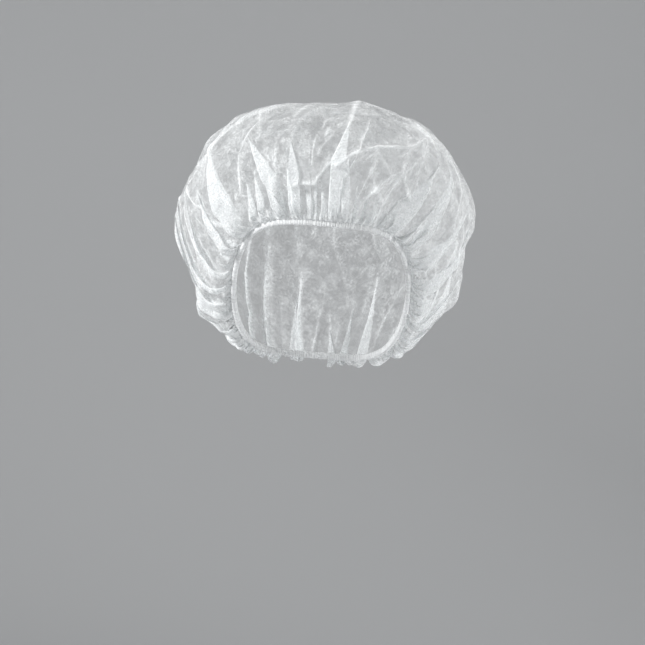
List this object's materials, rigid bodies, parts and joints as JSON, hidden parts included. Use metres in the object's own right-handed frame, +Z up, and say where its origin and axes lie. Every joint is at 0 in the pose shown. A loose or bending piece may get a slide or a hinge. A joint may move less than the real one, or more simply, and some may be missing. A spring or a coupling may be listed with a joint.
{
  "type": "disposable hair cover cap",
  "caption": "Worn bouffant hair cover: thin white nonwoven cloth gathered into a narrow hem round an elastic loop, puffing into a soft pleated bag over the head",
  "frame": {"origin": "the middle of the elastic loop, halfway between the forehead and the nape", "axes": "+X is the wearer's left, +Y the back of the head, +Z up"},
  "size_m": [0.2344, 0.2503, 0.215],
  "materials": {
    "nonwoven": "thin translucent spunbond nonwoven, matt",
    "hem_nonwoven": "two gathered layers of the nonwoven, matt",
    "elastic": "white covered elastic, matt"
  },
  "bodies": {
    "root": {"crown": "nonwoven", "hem": "hem_nonwoven", "elastic": "elastic"}
  },
  "joints": []
}
